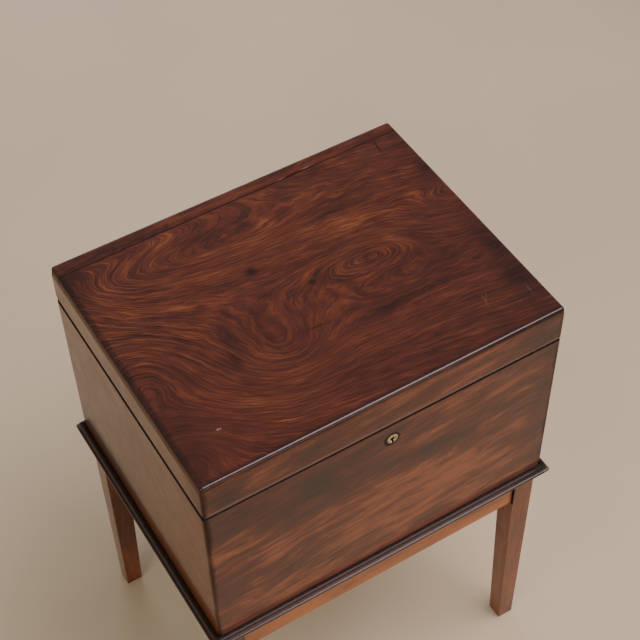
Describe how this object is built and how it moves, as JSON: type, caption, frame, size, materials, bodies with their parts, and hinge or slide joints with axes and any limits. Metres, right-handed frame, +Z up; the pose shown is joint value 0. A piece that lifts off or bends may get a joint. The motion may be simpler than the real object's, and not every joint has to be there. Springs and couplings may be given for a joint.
{
  "type": "cellarette",
  "caption": "Mahogany wine box with a hinged locking lid and bottle cells inside, standing loose in the moulded rim of a stand on square tapered legs.",
  "frame": {"origin": "on the floor, midway between the legs", "axes": "+Z up, +X to the right along the front, +Y towards the back, so the keyhole faces -Y"},
  "size_m": [0.49, 0.388, 0.686],
  "materials": {
    "mahogany": "French polished, glossy, darkened with age",
    "figured_mahogany": "figured board, French polished, glossy",
    "plain_mahogany": "thin boards, waxed",
    "deal": "planed softwood, unpolished",
    "brass": "worn, dull gold",
    "iron": "blackened",
    "steel": "dull"
  },
  "bodies": {
    "stand": {"leg_front_left": "mahogany", "leg_front_right": "mahogany", "leg_rear_right": "mahogany", "leg_rear_left": "mahogany", "rail_front": "mahogany", "rail_right": "mahogany", "rail_back": "mahogany", "rail_left": "mahogany", "moulding_front": "mahogany", "moulding_right": "mahogany", "moulding_back": "mahogany", "moulding_left": "mahogany", "glue_block_front": "deal", "glue_block_right": "deal", "glue_block_back": "deal", "glue_block_left": "deal", "moulding_screws": "iron"},
    "case": {"case_front": "mahogany", "case_right": "mahogany", "case_back": "mahogany", "case_left": "mahogany", "case_bottom": "deal", "bottom_screws": "iron", "partition_long_front": "plain_mahogany", "partition_long_rear": "plain_mahogany", "partition_cross_left": "plain_mahogany", "partition_cross_middle": "plain_mahogany", "partition_cross_right": "plain_mahogany", "lock_plate": "brass", "lock_cap": "iron", "lock_key_pin": "steel", "lock_screws": "brass", "keyhole_escutcheon": "brass", "hinge_leaf_case_left": "brass", "hinge_leaf_case_right": "brass", "hinge_pin_left": "brass", "hinge_pin_right": "brass", "hinge_screws_case": "brass"},
    "lid": {"lid_top_board": "figured_mahogany", "lid_top_strip": "figured_mahogany", "lid_front": "mahogany", "lid_right": "mahogany", "lid_back": "mahogany", "lid_left": "mahogany", "hinge_leaf_lid_left": "brass", "hinge_leaf_lid_right": "brass", "hinge_screws_lid": "brass", "lock_link_plate": "brass", "link_screws": "brass"},
    "lock_bolt": {"lock_bolt": "iron", "lock_bolt_spring": "steel"}
  },
  "joints": [
    {"name": "box_lift", "type": "slide", "parent": "stand", "child": "case", "axis": [0, 0, 1], "range_m": [0, 0.2]},
    {"name": "lid_hinge", "type": "hinge", "parent": "case", "child": "lid", "pos_m": [0, 0.184, 0.6315], "axis": [-1, 0, 0], "range_deg": [0, 95]},
    {"name": "lock_bolt_slide", "type": "slide", "parent": "case", "child": "lock_bolt", "axis": [1, 0, 0], "range_m": [0, 0.008]}
  ]
}
